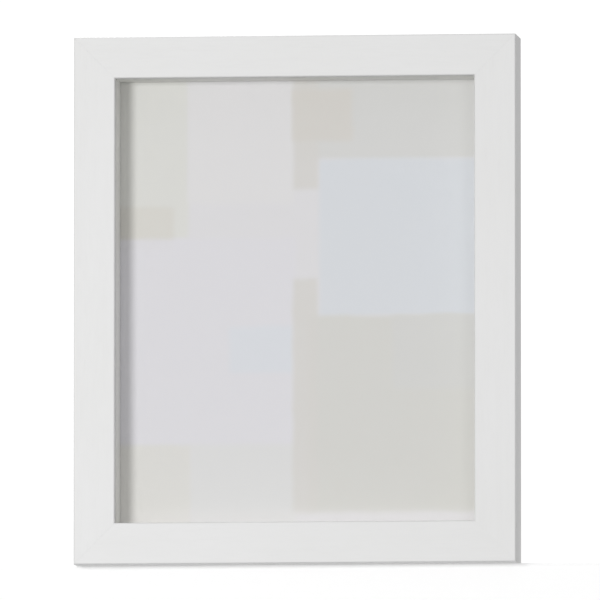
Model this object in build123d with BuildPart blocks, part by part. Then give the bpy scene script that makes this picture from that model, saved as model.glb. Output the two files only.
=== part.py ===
"""A white wooden shadow box with a glazed front, a lift-out back, an easel leg and two ring hangers.

Millimetres. +Z is up, the front faces -Y, and X runs across. The origin is at the centre of the
underside of the bottom rail. At rest the box stands upright on that rail, the easel leg is folded,
the hanger rings hang flat, and the turn buttons lie along the rails, so that the back can lift out.
"""
import os

from build123d import *

# Frame rails
SIGHT_WIDTH = 216.0
SIGHT_HEIGHT = 266.5
RAIL_WIDTH = 24.6
RAIL_DEPTH = 35.0
LIP_DEPTH = 5.0
RABBET = 6.35
EASED_EDGE = 0.7

# What lies in the rabbet, from the front to the back
GLASS_THICK = 2.0
SPACER_DEPTH = 21.7
SPACER_THICK = 6.1
SHEET_THICK = 0.4
MOUNT_BOARD_THICK = 2.0
BACK_BOARD_THICK = 3.2
BACK_GAP = 0.4
EDGE_GAP = 0.6

# Corner nails: V-shaped strips driven in from the rear, across each mitre
NAIL_REACH = 3.5
NAIL_THICK = 0.6
NAIL_LENGTH = 10.0
NAILS_ALONG_MITRE = (13.0, 20.0)

# Turn buttons and their screws
BUTTON_TIP = 12.4
BUTTON_TAIL_RADIUS = 4.5
BUTTON_TIP_RADIUS = 2.6
BUTTON_THICK = 1.0
BUTTON_LIFT = 0.4
BUTTON_SPREAD = 75.0
BUTTON_FROM_EDGE = 13.0
BUTTON_EASE = 0.3
RIB_START = 4.4
RIB_END = 10.8
RIB_WIDTH = 2.2
RIB_HEIGHT = 0.4
SCREW_RADIUS = 1.5
SCREW_LENGTH = 12.0
SCREW_HEAD_RADIUS = 3.0
SCREW_HEAD_HEIGHT = 1.5
SCREW_HEAD_ROUND = 0.9
CROSS_LENGTH = 4.0
CROSS_WIDTH = 0.8
CROSS_DEPTH = 0.7

# Easel leg and its hinge
HINGE_HEIGHT = 180.0
LEG_THICK = 3.0
LEG_FOOT_CLEAR = 4.0
LEG_TOP_WIDTH = 36.0
LEG_FOOT_WIDTH = 62.0
LEG_CORNER = 4.0
LEG_TOP_DROP = 2.6
LEG_LIFT = 0.5
PIN_RADIUS = 1.0
PIN_OVERHANG = 0.5
KNUCKLE_RADIUS = 2.0
KNUCKLE_MIDDLE = 10.0
KNUCKLE_GAP = 0.3
LEAF_WIDTH = 30.0
LEAF_LENGTH = 18.0
LEAF_THICK = 0.8
LEAF_CLEAR = 2.4
LEAF_CORNER = 2.0
HEEL_SETBACK = 0.2
HEEL_THICK = 1.0
HEEL_REACH = 4.1
RIVET_SPACING = 18.0
RIVET_FROM_AXIS = 11.5

# Triangle hangers
RING_WIRE = 0.9
RING_WIDTH = 24.0
RING_HEIGHT = 22.0
RING_CORNER = 2.0
STRAP_WIDTH = 14.0
STRAP_LENGTH = 9.0
STRAP_THICK = 0.8
STRAP_BARREL = 1.8
STRAP_CORNER = 3.0
STRAP_RIVET = 5.4
RING_AXIS_LIFT = 2.1
TOP_HANGER_DROP = 33.7
SIDE_HANGER_INSET = 34.6

# Fits and rivets
RUNNING_GAP = 0.08
RIVET_RADIUS = 1.2
RIVET_HEAD_RADIUS = 2.3
RIVET_HEAD_HEIGHT = 0.6
RIVET_HEAD_ROUND = 0.35
RIVET_TAIL_RADIUS = 2.0
RIVET_TAIL_HEIGHT = 0.7

# Worked out
WIDTH = SIGHT_WIDTH + 2 * RAIL_WIDTH
HEIGHT = SIGHT_HEIGHT + 2 * RAIL_WIDTH
MIDDLE = HEIGHT / 2
FRONT = -RAIL_DEPTH / 2
REAR = RAIL_DEPTH / 2
RABBET_WIDTH = SIGHT_WIDTH + 2 * RABBET
RABBET_HEIGHT = SIGHT_HEIGHT + 2 * RABBET
GLASS_FRONT = FRONT + LIP_DEPTH
SPACER_FRONT = GLASS_FRONT + GLASS_THICK
SHEET_FRONT = SPACER_FRONT + SPACER_DEPTH + BACK_GAP
MOUNT_BOARD_FRONT = SHEET_FRONT + SHEET_THICK
BACK_BOARD_FRONT = MOUNT_BOARD_FRONT + MOUNT_BOARD_THICK
BACK_REAR = BACK_BOARD_FRONT + BACK_BOARD_THICK
LEG_FRONT = REAR + LEG_LIFT
LEG_REAR = LEG_FRONT + LEG_THICK
HINGE_AXIS = LEG_REAR + LEAF_THICK - KNUCKLE_RADIUS
BUTTON_FRONT = REAR + BUTTON_LIFT

REARWARD = Vector(0, 1, 0)
RIGHTWARD = Vector(1, 0, 0)
UPWARD = Vector(0, 0, 1)

# Where each side of the frame starts, the way along it, and its length.
# Turned so that a plane with z_dir REARWARD has its own y pointing inwards.
SIDES = {
    "top": (Vector(0, 0, HEIGHT), RIGHTWARD, WIDTH),
    "bottom": (Vector(0, 0, 0), -RIGHTWARD, WIDTH),
    "left": (Vector(-WIDTH / 2, 0, MIDDLE), UPWARD, HEIGHT),
    "right": (Vector(WIDTH / 2, 0, MIDDLE), -UPWARD, HEIGHT),
}


def side_plane(side, depth):
    """A plane at one depth: x along the rail, y inwards from its outer face, z to the rear."""
    middle, along, _ = SIDES[side]
    return Plane(origin=middle + REARWARD * depth, x_dir=along, z_dir=REARWARD)


def back_plane(x, depth, z, across=RIGHTWARD):
    """A plane parallel to the back with its z to the rear; its y points down when x is across."""
    return Plane(origin=(x, depth, z), x_dir=across, z_dir=REARWARD)


def save(builder, name):
    builder.part.label = name
    export_step(builder.part, f"parts/{name}.step")


def flat_panel(name, width, height, front, thick):
    """A board, sheet or pane centred in the frame."""
    with BuildPart() as panel:
        with BuildSketch(back_plane(0, front, MIDDLE)):
            Rectangle(width, height)
        extrude(amount=thick)
    save(panel, name)


def rivets(name, planes, grip):
    """Domed rivets, each headed at its plane and gripping what lies in front of it."""
    with BuildPart() as group:
        for plane in planes:
            with BuildSketch(plane):
                Circle(RIVET_HEAD_RADIUS)
            extrude(amount=RIVET_HEAD_HEIGHT)
        fillet(group.edges().group_by(Axis.Y)[-1], RIVET_HEAD_ROUND)
        for plane in planes:
            with BuildSketch(plane):
                Circle(RIVET_RADIUS)
            extrude(amount=-grip)
            with BuildSketch(plane.offset(-grip)):
                Circle(RIVET_TAIL_RADIUS)
            extrude(amount=RIVET_TAIL_HEIGHT)
    save(group, name)
    return group


def barrel(plane, start, end, radius, mode=Mode.ADD):
    """A cylinder along the plane's x, from start to end, inside an open BuildPart."""
    axis_plane = Plane(origin=plane.origin + plane.x_dir * start, x_dir=plane.z_dir, z_dir=plane.x_dir)
    with BuildSketch(axis_plane) as circle:
        Circle(radius)
    extrude(circle.sketch, amount=end - start, mode=mode)


os.makedirs("parts", exist_ok=True)

# ---------------------------------------------------------------- corner nails
with BuildPart() as corner_v_nails:
    for x_side in (-1, 1):
        for z_side, corner_height in ((-1, 0), (1, HEIGHT)):
            inwards = Vector(-x_side, 0, -z_side)
            corner = Plane(
                origin=(x_side * WIDTH / 2, REAR, corner_height), x_dir=inwards, z_dir=REARWARD
            )
            with BuildSketch(corner):
                for distance in NAILS_ALONG_MITRE:
                    with BuildLine():
                        Polyline(
                            (distance - NAIL_REACH, NAIL_REACH),
                            (distance, 0),
                            (distance - NAIL_REACH, -NAIL_REACH),
                        )
                    trace(line_width=NAIL_THICK)
            extrude(amount=-NAIL_LENGTH)
save(corner_v_nails, "corner_v_nails")

# ---------------------------------------------------------------- turn buttons
pivots = {}
for side in SIDES:
    for end_name, end in (("a", -1), ("b", 1)):
        plane = side_plane(side, BUTTON_FRONT)
        pivots[f"turn_button_{side}_{end_name}"] = Plane(
            origin=plane.from_local_coords(Vector(end * BUTTON_SPREAD, BUTTON_FROM_EDGE, 0)),
            x_dir=plane.x_dir * -end,
            z_dir=REARWARD,
        )

for name, plane in pivots.items():
    with BuildPart() as button:
        with BuildSketch(plane):
            Circle(BUTTON_TAIL_RADIUS)
            with Locations((BUTTON_TIP - BUTTON_TIP_RADIUS, 0)):
                Circle(BUTTON_TIP_RADIUS)
            make_hull()
        extrude(amount=BUTTON_THICK)
        fillet(button.edges().group_by(Axis.Y)[-1], BUTTON_EASE)
        with BuildSketch(plane.offset(BUTTON_THICK)):
            with Locations(((RIB_START + RIB_END) / 2, 0)):
                SlotOverall(RIB_END - RIB_START, RIB_WIDTH)
        extrude(amount=RIB_HEIGHT)
        fillet(button.edges().group_by(Axis.Y)[-1], BUTTON_EASE)
        with BuildSketch(plane):
            Circle(SCREW_RADIUS + RUNNING_GAP)
        extrude(amount=BUTTON_THICK, mode=Mode.SUBTRACT)
    save(button, name)

head_lift = BUTTON_THICK + BUTTON_LIFT
with BuildPart() as turn_button_screws:
    for plane in pivots.values():
        with BuildSketch(plane.offset(head_lift)):
            Circle(SCREW_HEAD_RADIUS)
        extrude(amount=SCREW_HEAD_HEIGHT)
    fillet(turn_button_screws.edges().group_by(Axis.Y)[-1], SCREW_HEAD_ROUND)
    for plane in pivots.values():
        with BuildSketch(plane.offset(head_lift + SCREW_HEAD_HEIGHT)):
            Rectangle(CROSS_LENGTH, CROSS_WIDTH)
            Rectangle(CROSS_WIDTH, CROSS_LENGTH)
        extrude(amount=-CROSS_DEPTH, mode=Mode.SUBTRACT)
        with BuildSketch(plane.offset(head_lift)):
            Circle(SCREW_RADIUS)
        extrude(amount=-head_lift - BUTTON_LIFT - SCREW_LENGTH)
save(turn_button_screws, "turn_button_screws")

# ---------------------------------------------------------------- rails
for side, (_, along, length) in SIDES.items():
    front_plane = side_plane(side, FRONT)
    with BuildPart() as rail:
        section = Plane(origin=front_plane.origin, x_dir=front_plane.y_dir, z_dir=along)
        with BuildSketch(section) as outline:
            with BuildLine():
                Polyline(
                    (0, 0),
                    (RAIL_WIDTH, 0),
                    (RAIL_WIDTH, LIP_DEPTH),
                    (RAIL_WIDTH - RABBET, LIP_DEPTH),
                    (RAIL_WIDTH - RABBET, RAIL_DEPTH),
                    (0, RAIL_DEPTH),
                    close=True,
                )
            make_face()
            fillet(outline.vertices().group_by(Axis.Y)[0], EASED_EDGE)
            fillet(outline.vertices().group_by(Axis.Y)[-1].sort_by(Axis.X)[0], EASED_EDGE)
        extrude(amount=length / 2, both=True)
        for end in (-1, 1):
            mitre = Plane(
                origin=front_plane.origin + along * (end * length / 2),
                z_dir=along * end + front_plane.y_dir,
            )
            split(bisect_by=mitre, keep=Keep.BOTTOM)
        add(corner_v_nails.part, mode=Mode.SUBTRACT)
        add(turn_button_screws.part, mode=Mode.SUBTRACT)
    save(rail, f"rail_{side}")

# ---------------------------------------------------------------- glass and spacer strips
flat_panel(
    "glass_pane", RABBET_WIDTH - EDGE_GAP, RABBET_HEIGHT - EDGE_GAP, GLASS_FRONT, GLASS_THICK
)
for side in SIDES:
    strip_length = RABBET_WIDTH - EDGE_GAP if side in ("top", "bottom") else SIGHT_HEIGHT
    with BuildPart() as spacer:
        with BuildSketch(side_plane(side, SPACER_FRONT)):
            with Locations((0, RAIL_WIDTH)):
                Rectangle(strip_length, SPACER_THICK, align=(Align.CENTER, Align.MAX))
        extrude(amount=SPACER_DEPTH)
    save(spacer, f"spacer_{side}")

# ---------------------------------------------------------------- easel hinge
hinge_plane = back_plane(0, HINGE_AXIS, HINGE_HEIGHT)
middle_half = KNUCKLE_MIDDLE / 2
outer_start = middle_half + KNUCKLE_GAP
leaf_rivet_places = (-RIVET_SPACING / 2, RIVET_SPACING / 2)

upper_leaf_front = BACK_REAR
upper_leaf_thick = HINGE_AXIS - KNUCKLE_RADIUS + KNUCKLE_GAP - BACK_REAR
with BuildPart() as easel_hinge_upper_leaf:
    with BuildSketch(back_plane(0, upper_leaf_front, HINGE_HEIGHT)):
        with Locations((0, -(LEAF_CLEAR + LEAF_LENGTH) / 2)):
            RectangleRounded(LEAF_WIDTH, LEAF_LENGTH - LEAF_CLEAR, LEAF_CORNER)
        for way in (-1, 1):
            with Locations((way * (outer_start + LEAF_WIDTH / 2) / 2, -LEAF_CLEAR)):
                Rectangle(LEAF_WIDTH / 2 - outer_start, 2 * LEAF_CLEAR)
    extrude(amount=upper_leaf_thick)
    for start, end in ((-LEAF_WIDTH / 2, -outer_start), (outer_start, LEAF_WIDTH / 2)):
        barrel(hinge_plane, start, end, KNUCKLE_RADIUS)
        barrel(hinge_plane, start, end, PIN_RADIUS, mode=Mode.SUBTRACT)
    with BuildSketch(back_plane(0, upper_leaf_front, HINGE_HEIGHT)):
        with Locations(*[(x, -RIVET_FROM_AXIS) for x in leaf_rivet_places]):
            Circle(RIVET_RADIUS)
    extrude(amount=upper_leaf_thick, mode=Mode.SUBTRACT)
save(easel_hinge_upper_leaf, "easel_hinge_upper_leaf")

with BuildPart() as easel_hinge_lower_leaf:
    with BuildSketch(back_plane(0, LEG_REAR, HINGE_HEIGHT)):
        with Locations((0, (LEAF_CLEAR + LEAF_LENGTH) / 2)):
            RectangleRounded(LEAF_WIDTH, LEAF_LENGTH - LEAF_CLEAR, LEAF_CORNER)
        with Locations((0, LEAF_CLEAR)):
            Rectangle(KNUCKLE_MIDDLE, 2 * LEAF_CLEAR)
    extrude(amount=LEAF_THICK)
    barrel(hinge_plane, -middle_half, middle_half, KNUCKLE_RADIUS)
    # The heel above the knuckle comes up against the upper leaf, which stops the leg at 26 degrees
    with BuildSketch(hinge_plane.offset(HEEL_SETBACK)):
        with Locations((0, -HEEL_REACH / 2)):
            Rectangle(KNUCKLE_MIDDLE, HEEL_REACH)
    extrude(amount=HEEL_THICK)
    barrel(hinge_plane, -middle_half, middle_half, PIN_RADIUS + RUNNING_GAP, mode=Mode.SUBTRACT)
    with BuildSketch(back_plane(0, LEG_REAR, HINGE_HEIGHT)):
        with Locations(*[(x, RIVET_FROM_AXIS) for x in leaf_rivet_places]):
            Circle(RIVET_RADIUS)
    extrude(amount=LEAF_THICK, mode=Mode.SUBTRACT)
save(easel_hinge_lower_leaf, "easel_hinge_lower_leaf")

pin_half = LEAF_WIDTH / 2 + PIN_OVERHANG
with BuildPart() as easel_hinge_pin:
    barrel(hinge_plane, -pin_half, pin_half, PIN_RADIUS)
save(easel_hinge_pin, "easel_hinge_pin")

easel_hinge_rivets = rivets(
    "easel_hinge_rivets",
    [back_plane(x, BACK_REAR + upper_leaf_thick, HINGE_HEIGHT + RIVET_FROM_AXIS) for x in leaf_rivet_places],
    upper_leaf_thick + BACK_BOARD_THICK,
)
easel_leg_rivets = rivets(
    "easel_leg_rivets",
    [back_plane(x, LEG_REAR + LEAF_THICK, HINGE_HEIGHT - RIVET_FROM_AXIS) for x in leaf_rivet_places],
    LEAF_THICK + LEG_THICK,
)

# ---------------------------------------------------------------- easel leg
leg_top = HINGE_HEIGHT - LEG_TOP_DROP
with BuildPart() as easel_leg:
    with BuildSketch(back_plane(0, LEG_FRONT, 0)) as leg_outline:
        with BuildLine():
            Polyline(
                (-LEG_TOP_WIDTH / 2, -leg_top),
                (LEG_TOP_WIDTH / 2, -leg_top),
                (LEG_FOOT_WIDTH / 2, -LEG_FOOT_CLEAR),
                (-LEG_FOOT_WIDTH / 2, -LEG_FOOT_CLEAR),
                close=True,
            )
        make_face()
        fillet(leg_outline.vertices(), LEG_CORNER)
    extrude(amount=LEG_THICK)
    add(easel_leg_rivets.part, mode=Mode.SUBTRACT)
save(easel_leg, "easel_leg")

# ---------------------------------------------------------------- triangle hangers
hanger_planes = {
    "top": back_plane(0, BACK_REAR, HEIGHT - TOP_HANGER_DROP),
    "side": back_plane(-WIDTH / 2 + SIDE_HANGER_INSET, BACK_REAR, MIDDLE, across=UPWARD),
}
for place, plane in hanger_planes.items():
    axis = plane.offset(RING_AXIS_LIFT)
    with BuildPart() as strap:
        with BuildSketch(plane) as strap_outline:
            Rectangle(STRAP_WIDTH, STRAP_LENGTH, align=(Align.CENTER, Align.MIN))
            fillet(strap_outline.vertices().group_by(Axis.Y)[-1], STRAP_CORNER)
        extrude(amount=STRAP_THICK)
        barrel(axis, -STRAP_WIDTH / 2, STRAP_WIDTH / 2, STRAP_BARREL)
        barrel(axis, -STRAP_WIDTH / 2, STRAP_WIDTH / 2, RING_WIRE + RUNNING_GAP, mode=Mode.SUBTRACT)
        with BuildSketch(plane):
            with Locations((0, STRAP_RIVET)):
                Circle(RIVET_RADIUS)
        extrude(amount=STRAP_THICK, mode=Mode.SUBTRACT)
    save(strap, f"hanger_strap_{place}")

    with BuildPart() as ring:
        with BuildLine(axis):
            loop = FilletPolyline(
                (-RING_WIDTH / 2, 0),
                (RING_WIDTH / 2, 0),
                (0, RING_HEIGHT),
                radius=RING_CORNER,
                close=True,
            )
        with BuildSketch(Plane(origin=loop @ 0, z_dir=loop % 0)):
            Circle(RING_WIRE)
        sweep()
    save(ring, f"hanger_ring_{place}")

strap_rivet_planes = []
for plane in hanger_planes.values():
    head = plane.from_local_coords(Vector(0, STRAP_RIVET, STRAP_THICK))
    strap_rivet_planes.append(Plane(origin=head, x_dir=plane.x_dir, z_dir=REARWARD))
hanger_rivets = rivets("hanger_rivets", strap_rivet_planes, STRAP_THICK + BACK_BOARD_THICK)

# ---------------------------------------------------------------- sheet, mount board and back board
for name, front, thick in (
    ("insert_sheet", SHEET_FRONT, SHEET_THICK),
    ("mount_board", MOUNT_BOARD_FRONT, MOUNT_BOARD_THICK),
):
    flat_panel(name, RABBET_WIDTH - 2 * EDGE_GAP, RABBET_HEIGHT - 2 * EDGE_GAP, front, thick)

with BuildPart() as back_board:
    with BuildSketch(back_plane(0, BACK_BOARD_FRONT, MIDDLE)):
        Rectangle(RABBET_WIDTH - 2 * EDGE_GAP, RABBET_HEIGHT - 2 * EDGE_GAP)
    extrude(amount=BACK_BOARD_THICK)
    add(easel_hinge_rivets.part, mode=Mode.SUBTRACT)
    add(hanger_rivets.part, mode=Mode.SUBTRACT)
save(back_board, "back_board")
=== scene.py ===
"""The finishes, stage, lights and camera for a white wooden shadow box. Metres, +Z up, the front faces -Y."""
import math

import bpy
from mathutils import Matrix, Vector


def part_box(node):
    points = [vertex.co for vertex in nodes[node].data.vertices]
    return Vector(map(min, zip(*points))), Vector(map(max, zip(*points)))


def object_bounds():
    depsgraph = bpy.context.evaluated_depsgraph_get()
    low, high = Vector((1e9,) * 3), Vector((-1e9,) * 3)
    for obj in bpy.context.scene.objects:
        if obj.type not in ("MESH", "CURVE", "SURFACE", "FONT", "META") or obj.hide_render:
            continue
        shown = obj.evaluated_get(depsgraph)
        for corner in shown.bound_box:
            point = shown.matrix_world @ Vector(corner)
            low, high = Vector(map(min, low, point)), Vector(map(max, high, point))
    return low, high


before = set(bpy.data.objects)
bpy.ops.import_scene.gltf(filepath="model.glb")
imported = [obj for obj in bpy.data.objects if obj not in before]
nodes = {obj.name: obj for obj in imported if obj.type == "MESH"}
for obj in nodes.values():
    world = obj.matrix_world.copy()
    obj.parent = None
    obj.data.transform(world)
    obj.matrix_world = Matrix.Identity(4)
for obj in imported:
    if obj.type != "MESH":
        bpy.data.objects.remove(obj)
cad_low, cad_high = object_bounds()
scene = bpy.context.scene

SIDES = ("top", "bottom", "left", "right")
BUTTONS = [f"turn_button_{side}_{end}" for side in SIDES for end in ("a", "b")]

# The box's own places, read from the frame
MM = 0.001
front = cad_low.y
rails_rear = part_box("rail_top")[1].y
width = cad_high.x - cad_low.x
height = cad_high.z
middle = Vector((0, 0, height / 2))


# ---------------------------------------------------------------- shader writing
class Sum:
    """One shader socket, or a number, with Python's operators adding Math nodes."""

    def __init__(self, shader, socket):
        self.shader = shader
        self.socket = socket

    def _math(self, operation, *values):
        made = self.shader.node("ShaderNodeMath", {"operation": operation}, dict(enumerate(values)))
        return Sum(self.shader, made.outputs[0])

    def __add__(self, other):
        return self._math("ADD", self, other)

    def __radd__(self, other):
        return self._math("ADD", other, self)

    def __sub__(self, other):
        return self._math("SUBTRACT", self, other)

    def __rsub__(self, other):
        return self._math("SUBTRACT", other, self)

    def __mul__(self, other):
        return self._math("MULTIPLY", self, other)

    def __rmul__(self, other):
        return self._math("MULTIPLY", other, self)

    def smallest(self, other):
        return self._math("MINIMUM", self, other)

    def largest(self, other):
        return self._math("MAXIMUM", self, other)

    def size(self):
        return self._math("ABSOLUTE", self)

    def step(self, start, end):
        """0 before start, 1 after end, and smooth between them."""
        made = self.shader.node(
            "ShaderNodeMapRange",
            {"interpolation_type": "SMOOTHSTEP"},
            {"Value": self, "From Min": start, "From Max": end},
        )
        return Sum(self.shader, made.outputs[0])


class Shader:
    """A material and the short calls that add nodes to it."""

    def __init__(self, name, **values):
        """Values are the same all over the surface, each named for its socket with _ for a space."""
        self.material = bpy.data.materials.new(name)
        self.material.use_nodes = True
        self.tree = self.material.node_tree
        self.surface = self.tree.nodes["Principled BSDF"]
        for socket, value in values.items():
            self.surface.inputs[socket.replace("_", " ")].default_value = value

    def node(self, kind, settings=None, inputs=None):
        made = self.tree.nodes.new(kind)
        for name, value in (settings or {}).items():
            setattr(made, name, value)
        for name, value in (inputs or {}).items():
            self.put(value, made.inputs[name])
        return made

    def put(self, value, socket):
        if isinstance(value, Sum):
            value = value.socket
        if isinstance(value, bpy.types.NodeSocket):
            self.tree.links.new(value, socket)
        else:
            socket.default_value = value

    def place(self, scale=(1, 1, 1)):
        """Object coordinates, stretched."""
        where = self.coordinates("Object")
        return self.node("ShaderNodeMapping", None, {"Vector": where, "Scale": scale}).outputs[0]

    def coordinates(self, kind):
        return self.node("ShaderNodeTexCoord").outputs[kind]

    def axes(self, kind="Object"):
        parts = self.node("ShaderNodeSeparateXYZ", None, {0: self.coordinates(kind)})
        return [Sum(self, out) for out in parts.outputs]

    def noise(self, scale, detail=4.0, rough=0.5, where=None):
        made = self.node(
            "ShaderNodeTexNoise",
            None,
            {"Vector": where or self.place(), "Scale": scale, "Detail": detail, "Roughness": rough},
        )
        return Sum(self, made.outputs["Fac"])

    def mix(self, share, first, second):
        """A colour between two others."""
        made = self.node("ShaderNodeMix", {"data_type": "RGBA"}, {0: share, 6: first, 7: second})
        return made.outputs[2]

    def feed(self, name, value):
        self.put(value, self.surface.inputs[name])

    def bump(self, relief, distance):
        made = self.node("ShaderNodeBump", None, {"Height": relief, "Distance": distance})
        self.feed("Normal", made.outputs[0])


def grey(level, tint=(1, 1, 1)):
    return tuple(level * t for t in tint) + (1,)


def finish_node(name, shader):
    mesh = nodes[name].data
    mesh.materials.clear()
    mesh.materials.append(shader.material)


# ---------------------------------------------------------------- finishes
WHITE = grey(0.795, (1, 1, 0.999))
DULLER_WHITE = grey(0.785, (1, 1, 0.995))


def bare_wood(shader, along):
    """Pale straight-grained softwood: fine pores inside broad growth bands."""
    stretch = tuple(0.06 if axis == along else 1.0 for axis in range(3))
    bands = shader.noise(160, 3, 0.5, shader.place(stretch))
    pores = shader.noise(1500, 5, 0.65, shader.place(stretch))
    warm = shader.mix(bands.step(0.38, 0.62), grey(1, (0.66, 0.47, 0.28)), grey(1, (0.50, 0.32, 0.16)))
    return shader.mix(pores.step(0.45, 0.75) * 0.55, warm, grey(1, (0.36, 0.22, 0.11))), pores


def white_lacquer(name, along):
    """Sprayed satin white over fine straight grain, and bare wood on the rear with a little overspray."""
    shader = Shader(name, Coat_Roughness=0.25)
    stretch = tuple(0.05 if axis == along else 1.0 for axis in range(3))
    grain = shader.noise(2200, 5, 0.6, shader.place(stretch))
    figure = shader.noise(260, 3, 0.5, shader.place(stretch))
    spray = shader.noise(1600, 2)
    cloud = shader.noise(11, 3)
    x, y, z = shader.axes()

    from_side = width / 2 - x.size()
    from_end = z.smallest(height - z)
    seam = 1 - (from_side - from_end).size().step(0.05 * MM, 0.22 * MM)

    edge = from_side.smallest(from_end)
    rear = y.step(rails_rear - 0.14 * MM, rails_rear - 0.06 * MM)
    mist = (edge + (spray - 0.5) * 3 * MM).step(1.0 * MM, 3.2 * MM)
    bare = rear * (0.15 + 0.85 * mist)

    wood, pores = bare_wood(shader, along)
    paint = shader.mix(cloud.step(0.35, 0.65), WHITE, DULLER_WHITE)
    paint = shader.mix(figure.step(0.4, 0.7) * 0.03, paint, grey(0.6, (1, 0.985, 0.95)))
    paint = shader.mix(grain.step(0.5, 0.75) * 0.055, paint, grey(0.55, (1, 0.98, 0.95)))
    wood = shader.mix(seam * 0.6, wood, grey(1, (0.16, 0.09, 0.045)))
    shader.feed("Base Color", shader.mix(bare, paint, wood))
    shader.feed("Roughness", 0.40 + grain * 0.2 + bare * 0.2)
    shader.feed("Coat Weight", 0.1 - bare * 0.1)
    shader.bump(grain * 0.6 + figure * 0.5 + spray * 0.4 + pores * bare, 0.03 * MM)
    return shader


def wrapped_white(name):
    """Matt white paper wrapped over a strip, with its fibres just showing."""
    shader = Shader(name)
    fibres = shader.noise(1500, 5, 0.7)
    blush = shader.noise(25, 2)
    white = shader.mix(blush.step(0.3, 0.7), grey(0.82, (1, 0.998, 0.965)), grey(0.84, (1, 1, 0.97)))
    shader.feed("Base Color", shader.mix(fibres.step(0.45, 0.75) * 0.12, white, grey(0.6, (1, 0.98, 0.94))))
    shader.feed("Roughness", 0.6 + fibres * 0.2)
    shader.bump(fibres, 0.09 * MM)
    return shader


def picture_glass():
    """Clear float glass: almost nothing face on, more at a slant, and green in its edges."""
    shader = Shader("picture_glass", Roughness=0.03, Coat_Weight=0.0)
    slant = Sum(shader, shader.node("ShaderNodeLayerWeight", None, {"Blend": 0.25}).outputs["Facing"])
    _, across, _ = shader.axes("Normal")
    edge = 1 - across.size().step(0.4, 0.6)
    shader.feed("Base Color", shader.mix(edge, grey(0.02), grey(1, (0.50, 0.70, 0.61))))
    shader.feed("Alpha", (0.008 + slant * 0.2).largest(edge * 0.6))
    return shader


# The print: soft pale rectangles, each with its left, right, low and high edge in mm from the middle of
# the box, and a tint in screen levels
PLAIN = (217, 216, 218)
PATCHES = (
    (-2, 115, 86, 140, (208.5, 208.5, 206.5)),
    (-115, -67, 39, 140, (215, 215, 210.5)),
    (-115, -76, 33, 58, (211, 209, 203)),
    (-67, -3, 60, 140, (219, 218, 218.5)),
    (-115, -2, -85, 39, (217, 216, 220)),
    (-42, -4, -42, -14, (213, 216, 221)),
    (-115, -65, -140, -85, (215, 214, 210)),
    (-65, -2, -140, -85, (215.5, 215.5, 215)),
    (12, 115, -8, 86, (210.5, 214, 218.5)),
    (5, 115, -126, -8, (207.5, 207, 202.5)),
    (56, 115, -52, -8, (208, 208, 206)),
    (-4, 11, 68, 140, (210, 208, 205)),
    (-4, 32, 97, 128, (209, 206, 201)),
    (-4, 11, -126, 14, (210, 208, 204.5)),
)
# Painted bounce light: a paler strip along the sheet's foot that stands in for light thrown onto it by the
# lit bottom wall of the recess. It has a colour, a top edge and a fade in mm from the middle, and a share of
# the mix.
PAINTED_BOUNCE_LIGHT = (223, 221, 221)
PAINTED_BOUNCE_LIGHT_TOP = -120
PAINTED_BOUNCE_LIGHT_FADE = 8
PAINTED_BOUNCE_LIGHT_SHARE = 0.3
BLEED = 2.4
WANDER = 3.0
PRINT_LIGHT = 0.855  # how brightly the studio lights the sheet, next to a screen's white
SCREEN_GAMMA = 2.2


def printed(levels):
    """A screen colour as the paper's own linear colour under the studio's light."""
    return tuple((level / 255) ** SCREEN_GAMMA / PRINT_LIGHT for level in levels) + (1,)


def printed_paper():
    """Matt paper printed with overlapping rectangles whose edges bleed a little, and made paler along its
    foot with painted bounce light.
    """
    shader = Shader("printed_paper", Roughness=0.85)
    x, _, z = shader.axes()
    across, up = x * (1 / MM), (z - height / 2) * (1 / MM)
    wander = (shader.noise(60, 3) - 0.5) * WANDER
    wash = shader.noise(38, 4, 0.6)
    fibres = shader.noise(1800, 4, 0.7)
    colour = printed(PLAIN)
    for left, right, low, high, levels in PATCHES:
        inside = (across + wander).step(left - BLEED, left + BLEED)
        inside = inside * (1 - (across - wander).step(right - BLEED, right + BLEED))
        inside = inside * (up - wander).step(low - BLEED, low + BLEED)
        inside = inside * (1 - (up + wander).step(high - BLEED, high + BLEED))
        colour = shader.mix(inside * (0.8 + 0.2 * wash), colour, printed(levels))
    # Painted bounce light: the sheet is mixed paler below the strip's top edge, towards its foot.
    painted_bounce_mask = 1 - (up + wander).step(PAINTED_BOUNCE_LIGHT_TOP - PAINTED_BOUNCE_LIGHT_FADE, PAINTED_BOUNCE_LIGHT_TOP)
    colour = shader.mix(painted_bounce_mask * PAINTED_BOUNCE_LIGHT_SHARE, colour, printed(PAINTED_BOUNCE_LIGHT))
    colour = shader.mix(fibres.step(0.4, 0.8) * 0.06, colour, grey(0.5, (1, 0.97, 0.92)))
    shader.feed("Base Color", colour)
    shader.feed("Roughness", 0.75 + fibres * 0.15)
    shader.bump(fibres, 0.02 * MM)
    return shader


def grey_card():
    """Uncoated board: flecked fibres, and laminated layers in its edges."""
    shader = Shader("grey_card")
    flecks = shader.noise(900, 6, 0.75)
    _, y, _ = shader.axes()
    _, flat, _ = shader.axes("Normal")
    layers = shader.noise(1, 2, 0.5, shader.place((40, 4200, 40)))
    edge = 1 - flat.size().step(0.4, 0.6)
    tone = shader.mix(flecks.step(0.35, 0.7), grey(0.36, (1, 0.94, 0.84)), grey(0.50, (1, 0.95, 0.86)))
    laminated = edge * layers.step(0.4, 0.6) * 0.5
    shader.feed("Base Color", shader.mix(laminated, tone, grey(0.25, (1, 0.9, 0.75))))
    shader.feed("Roughness", 0.8 + flecks * 0.15)
    shader.bump(flecks, 0.06 * MM)
    return shader


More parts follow.
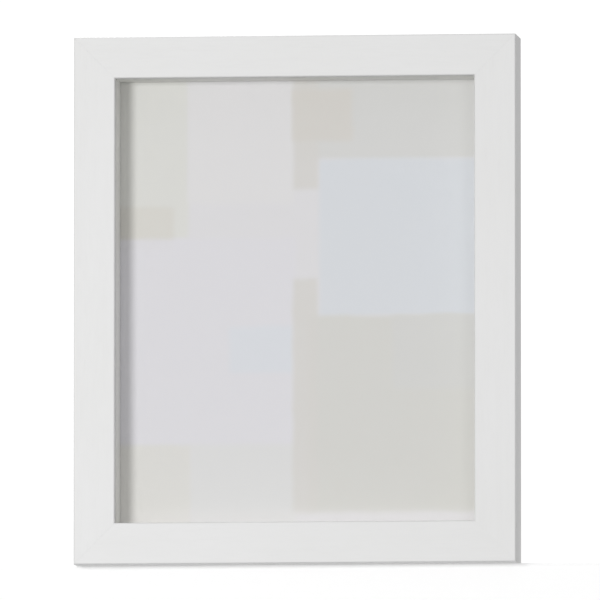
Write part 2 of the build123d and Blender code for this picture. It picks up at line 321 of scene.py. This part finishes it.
def flocked_board(name):
    """Fibreboard faced with black flocked paper; its cut edges are brown fibre."""
    shader = Shader(name, Sheen_Weight=0.35, Sheen_Roughness=0.45)
    _, flat, _ = shader.axes("Normal")
    pile = shader.noise(2600, 3, 0.6)
    brushed = shader.noise(55, 4, 0.6, shader.place((1, 1, 0.35)))
    fibre = shader.noise(1300, 6, 0.75, shader.place((1, 2.5, 1)))
    edge = 1 - flat.size().step(0.45, 0.6)
    black = shader.mix(brushed.step(0.35, 0.68), grey(0.012, (1, 1, 1.06)), grey(0.026, (1, 1, 1.04)))
    black = shader.mix(pile.step(0.5, 0.75) * 0.5, black, grey(0.055))
    brown = shader.mix(fibre.step(0.35, 0.7), grey(1, (0.20, 0.115, 0.055)), grey(1, (0.34, 0.215, 0.115)))
    shader.feed("Base Color", shader.mix(edge, black, brown))
    shader.feed("Roughness", 0.9 - brushed * 0.12)
    shader.bump(pile * (1 - edge * 0.5) + fibre * edge, 0.12 * MM)
    return shader


def plated(name, tint, rough):
    """Plated sheet steel: a fine rolled grain, tiny scuffs and a slight cloudiness."""
    shader = Shader(name, Metallic=1.0)
    rolled = shader.noise(4000, 3, 0.6, shader.place((0.03, 1, 1)))
    scuffs = shader.noise(700, 5, 0.7)
    cloud = shader.noise(140, 3)
    dull = scuffs.step(0.58, 0.74)
    bright = shader.mix(cloud.step(0.3, 0.7), grey(1, tint), grey(0.86, tint))
    shader.feed("Base Color", shader.mix(dull * 0.4, bright, grey(0.55, tint)))
    shader.feed("Roughness", rough + rolled * 0.12 + dull * 0.16)
    shader.bump(rolled * 0.6 + scuffs * 0.4, 0.012 * MM)
    return shader


def blued_steel():
    """Thin spring strip, dark and a little oily, mottled with brighter steel."""
    shader = Shader("blued_steel", Metallic=1.0)
    mottle = shader.noise(1200, 5, 0.7)
    shader.feed("Base Color", shader.mix(mottle.step(0.4, 0.7), grey(0.16, (0.95, 1, 1.1)), grey(0.42)))
    shader.feed("Roughness", 0.35 + mottle * 0.25)
    shader.bump(mottle, 0.01 * MM)
    return shader


for side in SIDES:
    finish_node(f"rail_{side}", white_lacquer(f"lacquer_{side}", 0 if side in ("top", "bottom") else 2))
    finish_node(f"spacer_{side}", wrapped_white(f"wrapped_{side}"))
finish_node("glass_pane", picture_glass())
finish_node("insert_sheet", printed_paper())
finish_node("mount_board", grey_card())
finish_node("back_board", flocked_board("flocked_back"))
finish_node("easel_leg", flocked_board("flocked_leg"))

NICKEL = (0.66, 0.645, 0.61)
ZINC = (0.60, 0.61, 0.62)
nickel_plate = plated("nickel_plate", NICKEL, 0.24)
nickel_wire = plated("nickel_wire", NICKEL, 0.18)
zinc_plate = plated("zinc_plate", ZINC, 0.32)
HINGE_LEAVES = ("easel_hinge_upper_leaf", "easel_hinge_lower_leaf")
HANGER_STRAPS = ("hanger_strap_top", "hanger_strap_side")
RIVETS = ("easel_hinge_rivets", "easel_leg_rivets", "hanger_rivets")
for name in (*BUTTONS, *HINGE_LEAVES, *HANGER_STRAPS):
    finish_node(name, nickel_plate)
for name in ("hanger_ring_top", "hanger_ring_side"):
    finish_node(name, nickel_wire)
for name in ("turn_button_screws", "easel_hinge_pin", *RIVETS):
    finish_node(name, zinc_plate)
finish_node("corner_v_nails", blued_steel())


# ---------------------------------------------------------------- edges
RAIL_EASE = 0.05 * MM
BOARD_EASE = 0.25 * MM
JOIN_WITHIN = 0.001 * MM
FLAT_WITHIN = math.radians(0.5)
SHARP_FROM = math.radians(40)


def ease(name, size):
    """Small roundings on cut edges.

    The faces are joined first, because loose ones share no edge to round, and flat ones are made whole,
    because a rounding can't slide along thin triangles. Clamping is off, because it would shrink every
    rounding to suit the shortest edge of a small hole.
    """
    joined = nodes[name].modifiers.new("joined", "WELD")
    joined.merge_threshold = JOIN_WITHIN
    whole = nodes[name].modifiers.new("whole", "DECIMATE")
    whole.decimate_type = "DISSOLVE"
    whole.angle_limit = FLAT_WITHIN
    eased = nodes[name].modifiers.new("eased", "BEVEL")
    eased.width = size
    eased.segments = 2
    eased.limit_method = "ANGLE"
    eased.angle_limit = SHARP_FROM
    eased.harden_normals = True
    eased.use_clamp_overlap = False


for side in SIDES:
    ease(f"rail_{side}", RAIL_EASE)
    ease(f"spacer_{side}", BOARD_EASE)
for name in ("easel_leg", "mount_board", "back_board", "glass_pane"):
    ease(name, BOARD_EASE)


# ---------------------------------------------------------------- stage
FLOOR_SETBACK = 16 * MM
FLOOR_SIZE = 6.0
FLOOR_THICK = 0.03
FLOOR_ROUNDING = 3 * MM
FLOOR_GLOW = 0.28


def stage_white(name, glow):
    white = {"Base_Color": grey(0.8), "Emission_Color": grey(1)}
    return Shader(name, Roughness=0.9, Emission_Strength=glow, **white)


def floor():
    """A wide pale table top whose near edge runs a little behind the front of the frame."""
    bpy.ops.mesh.primitive_cube_add(size=1)
    made = bpy.context.object
    made.name = "floor"
    made.scale = (FLOOR_SIZE, FLOOR_SIZE, FLOOR_THICK)
    made.location = (0, front + FLOOR_SETBACK + FLOOR_SIZE / 2, -FLOOR_THICK / 2)
    bpy.ops.object.transform_apply(location=True, rotation=False, scale=True)
    soft = made.modifiers.new("soft", "BEVEL")
    soft.width = FLOOR_ROUNDING
    soft.segments = 4
    made.data.materials.append(stage_white("stage_white", FLOOR_GLOW).material)


bpy.ops.object.select_all(action="DESELECT")
floor()


# ---------------------------------------------------------------- lights
def from_front(azimuth, elevation, distance):
    """A point that far from the frame's middle. Azimuth 0 is straight in front, and more is to the right."""
    a, e = math.radians(azimuth), math.radians(elevation)
    return middle + Vector((math.sin(a) * math.cos(e), -math.cos(a) * math.cos(e), math.sin(e))) * distance


def panel(name, azimuth, elevation, distance, size, power):
    """A round soft light aimed at the frame's middle, with its size in metres and its power in watts."""
    data = bpy.data.lights.new(name, "AREA")
    data.shape = "DISK"
    data.size = size
    data.energy = power
    made = bpy.data.objects.new(name, data)
    scene.collection.objects.link(made)
    made.location = from_front(azimuth, elevation, distance)
    made.rotation_euler = (middle - made.location).to_track_quat("-Z", "Y").to_euler()


def surroundings(seen, lit, lean):
    """A plain white room: the camera sees it white, and it lights the object more gently, most from above."""
    world = bpy.data.worlds.new("studio")
    scene.world = world
    world.use_nodes = True
    tree = world.node_tree
    path = tree.nodes.new("ShaderNodeLightPath")
    direction = tree.nodes.new("ShaderNodeTexCoord")
    parts = tree.nodes.new("ShaderNodeSeparateXYZ")
    tree.links.new(direction.outputs["Generated"], parts.inputs[0])
    gentle = tree.nodes.new("ShaderNodeMapRange")
    gentle.inputs["From Min"].default_value = -1
    gentle.inputs["To Min"].default_value = lit * (1 - lean)
    gentle.inputs["To Max"].default_value = lit * (1 + lean)
    tree.links.new(parts.outputs["Z"], gentle.inputs["Value"])
    level = tree.nodes.new("ShaderNodeMapRange")
    level.inputs["To Max"].default_value = seen
    tree.links.new(gentle.outputs[0], level.inputs["To Min"])
    tree.links.new(path.outputs["Is Camera Ray"], level.inputs["Value"])
    tree.nodes["Background"].inputs["Color"].default_value = grey(1)
    tree.links.new(level.outputs[0], tree.nodes["Background"].inputs["Strength"])


surroundings(seen=1.05, lit=0.434, lean=0.26)
panel("key_left", azimuth=-16, elevation=1.5, distance=4.0, size=0.84, power=67.8)
panel("fill_right", azimuth=19, elevation=0, distance=4.0, size=0.9, power=11.5)
panel("back_top", azimuth=-155, elevation=42, distance=3.0, size=1.2, power=45.0)


# ---------------------------------------------------------------- camera
YAW = 6.2
PITCH = -4.5
DISTANCE = 12.0
VIEW_WIDTH = 0.3582
VIEW_RIGHT = 1.5 * MM
VIEW_UP = 0.7 * MM
SEEN_TO = 40.0


def camera():
    """A long lens, a little to the right and a little below, so that the frame's edges stay parallel."""
    data = bpy.data.cameras.new("camera")
    made = bpy.data.objects.new("camera", data)
    scene.collection.objects.link(made)
    scene.camera = made
    made.location = from_front(YAW, PITCH, DISTANCE)
    made.rotation_euler = (middle - made.location).to_track_quat("-Z", "Y").to_euler()
    data.sensor_width = 36
    data.lens = data.sensor_width * (DISTANCE + front) / VIEW_WIDTH
    data.shift_x = VIEW_RIGHT / VIEW_WIDTH
    data.shift_y = VIEW_UP / VIEW_WIDTH
    data.clip_end = SEEN_TO


camera()
scene.view_settings.view_transform = "Standard"
